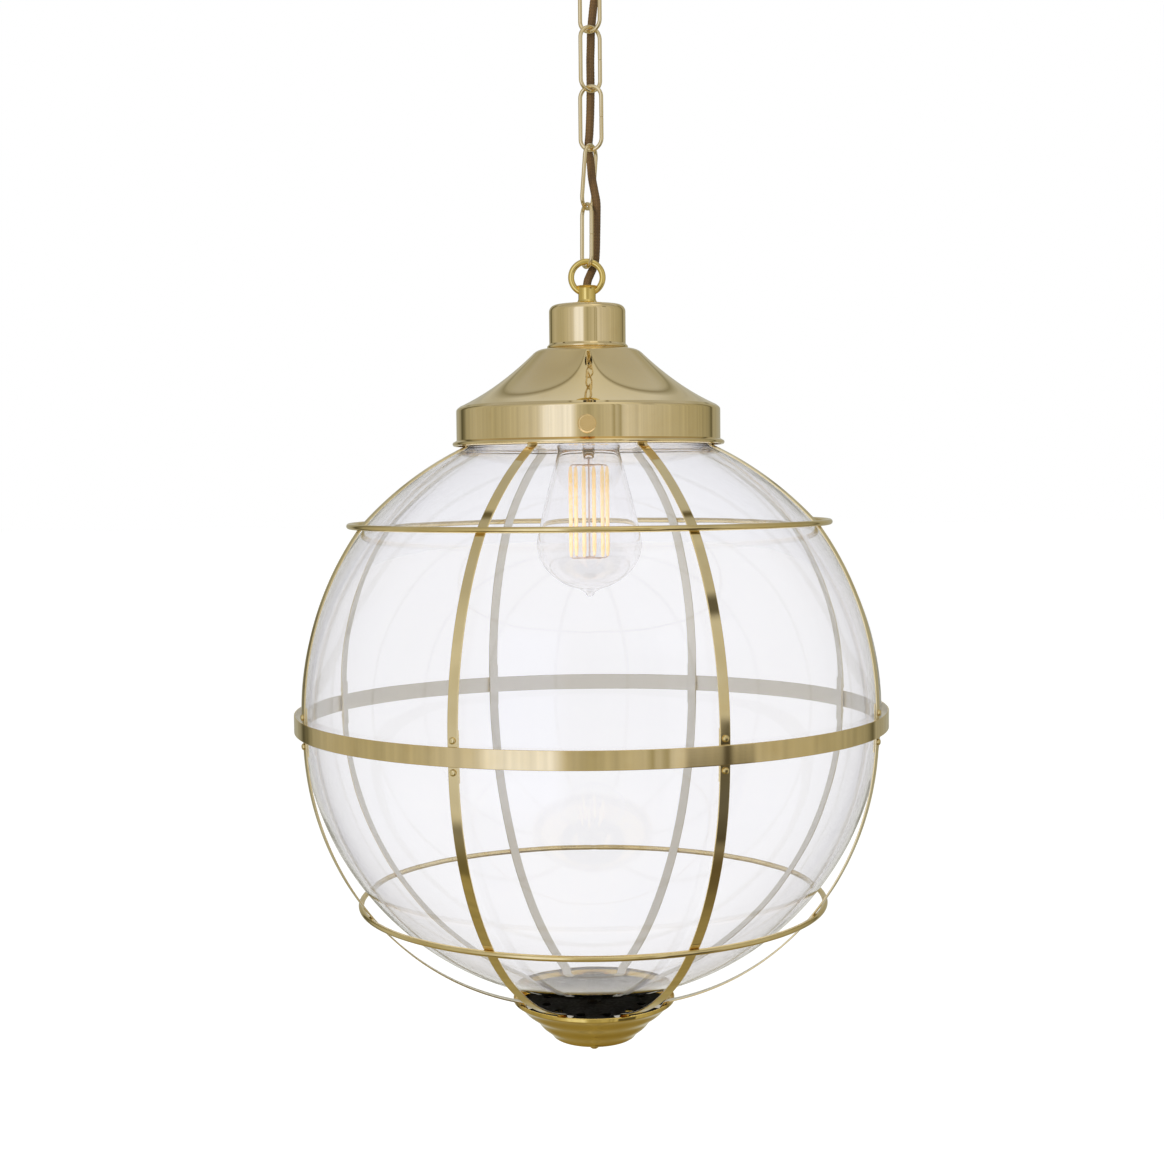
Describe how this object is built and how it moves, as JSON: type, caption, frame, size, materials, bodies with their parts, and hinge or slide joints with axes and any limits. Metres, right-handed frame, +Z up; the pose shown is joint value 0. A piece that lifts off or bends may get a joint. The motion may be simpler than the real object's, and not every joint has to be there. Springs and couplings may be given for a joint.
{
  "type": "hanging lantern",
  "caption": "Hanging globe lantern: clear glass ball in a riveted brass strap cage, under a spun gallery with thumb screws, on an oval link chain with a ceiling cup.",
  "frame": {"origin": "centre of the two screw holes on the ceiling face of the ceiling plate", "axes": "+Z up into the ceiling; the lantern hangs along -Z; +X along the line of the two screw holes; the first thumb screw faces -Y"},
  "size_m": [0.3588, 0.3588, 0.718],
  "materials": {
    "polished_brass": "polished, lacquered",
    "cage_brass": "polished strap",
    "gold_brass": "polished, deeper gold",
    "chain_brass": "brass-plated wire",
    "plain_brass": "turned",
    "red_brass": "turned, slightly red",
    "plated_steel": "zinc plated",
    "flex_fabric": "braided brown fabric sleeve",
    "holder_black": "moulded",
    "holder_ceramic": "glazed porcelain",
    "terminal_plastic": "moulded",
    "globe_glass": "clear blown glass",
    "bulb_glass": "clear",
    "lamp_cap_metal": "rolled thread",
    "lamp_insulator_black": "black glass insulator",
    "filament_amber": "amber phosphor coating",
    "support_wire": "bare wire",
    "hub_bronze": "dark bronzed"
  },
  "bodies": {
    "ceiling": {"ceiling_plate": "plated_steel", "rose_cup": "polished_brass", "rose_nipple": "plain_brass", "rose_nut": "plain_brass", "rose_loop": "gold_brass", "terminal_block": "terminal_plastic", "terminal_screws": "plain_brass", "flex_rose": "flex_fabric"},
    "link_5": {"chain_link_5": "chain_brass", "flex_5": "flex_fabric"},
    "link_4": {"chain_link_4": "chain_brass", "flex_4": "flex_fabric"},
    "link_3": {"chain_link_3": "chain_brass", "flex_3": "flex_fabric"},
    "link_2": {"chain_link_2": "chain_brass", "flex_2": "flex_fabric"},
    "link_1": {"chain_link_1": "chain_brass", "flex_1": "flex_fabric"},
    "lantern": {"loop_collar": "gold_brass", "cap": "polished_brass", "canopy": "polished_brass", "stem_nipple": "plain_brass", "lock_nut": "plain_brass", "canopy_washer": "plain_brass", "gallery_bushes": "red_brass", "holder_cap": "holder_black", "holder_skirt": "holder_black", "holder_insert": "holder_ceramic", "thread_shell": "plain_brass", "centre_contact": "plain_brass", "holder_terminals": "plain_brass", "flex_lamp": "flex_fabric", "glass_globe": "globe_glass", "cage_hoop": "cage_brass", "upper_ribs": "cage_brass", "lower_ribs": "cage_brass", "joining_tabs": "cage_brass", "middle_band": "cage_brass", "upper_ring": "cage_brass", "lower_ring": "cage_brass", "cage_rivets": "cage_brass", "hub_plate": "hub_bronze", "finial_cup": "gold_brass", "finial_stud": "plain_brass", "finial_spacer": "plain_brass", "hub_nut": "plain_brass", "finial_nut": "gold_brass"},
    "screw_1": {"thumb_screw_1": "red_brass"},
    "screw_2": {"thumb_screw_2": "red_brass"},
    "screw_3": {"thumb_screw_3": "red_brass"},
    "lamp": {"lamp_cap": "lamp_cap_metal", "lamp_insulator": "lamp_insulator_black", "lamp_contact": "lamp_cap_metal", "lamp_glass": "bulb_glass", "lamp_stem": "bulb_glass", "filaments": "filament_amber", "filament_supports": "support_wire"}
  },
  "joints": [
    {"name": "link_5_swing", "type": "hinge", "parent": "ceiling", "child": "link_5", "pos_m": [0, 0, -0.06482], "axis": [0, 1, 0], "range_deg": [-15, 15]},
    {"name": "link_4_swing", "type": "hinge", "parent": "link_5", "child": "link_4", "pos_m": [0, 0, -0.09912], "axis": [0.866, -0.5, 0], "range_deg": [-15, 15]},
    {"name": "link_3_swing", "type": "hinge", "parent": "link_4", "child": "link_3", "pos_m": [0, 0, -0.13407], "axis": [0.848, 0.5299, 0], "range_deg": [-15, 15]},
    {"name": "link_2_swing", "type": "hinge", "parent": "link_3", "child": "link_2", "pos_m": [0, 0, -0.16902], "axis": [0.9272, -0.3746, 0], "range_deg": [-15, 15]},
    {"name": "link_1_swing", "type": "hinge", "parent": "link_2", "child": "link_1", "pos_m": [-0.00295, 0, -0.20385], "axis": [0.468, 0.8829, -0.0368], "range_deg": [-15, 15]},
    {"name": "lantern_swing", "type": "hinge", "parent": "link_1", "child": "lantern", "pos_m": [-0.00334, 0, -0.2388], "axis": [0.4226, -0.9063, -0.0044], "range_deg": [-15, 15]},
    {"name": "thumb_screw_1_out", "type": "slide", "parent": "lantern", "child": "screw_1", "axis": [0, -1, 0], "range_m": [0, 0.005]},
    {"name": "thumb_screw_2_out", "type": "slide", "parent": "lantern", "child": "screw_2", "axis": [0.866, 0.5, 0], "range_m": [0, 0.005]},
    {"name": "thumb_screw_3_out", "type": "slide", "parent": "lantern", "child": "screw_3", "axis": [-0.866, 0.5, 0], "range_m": [0, 0.005]},
    {"name": "lamp_out", "type": "slide", "parent": "lantern", "child": "lamp", "axis": [0, 0, -1], "range_m": [0, 0.024]}
  ]
}
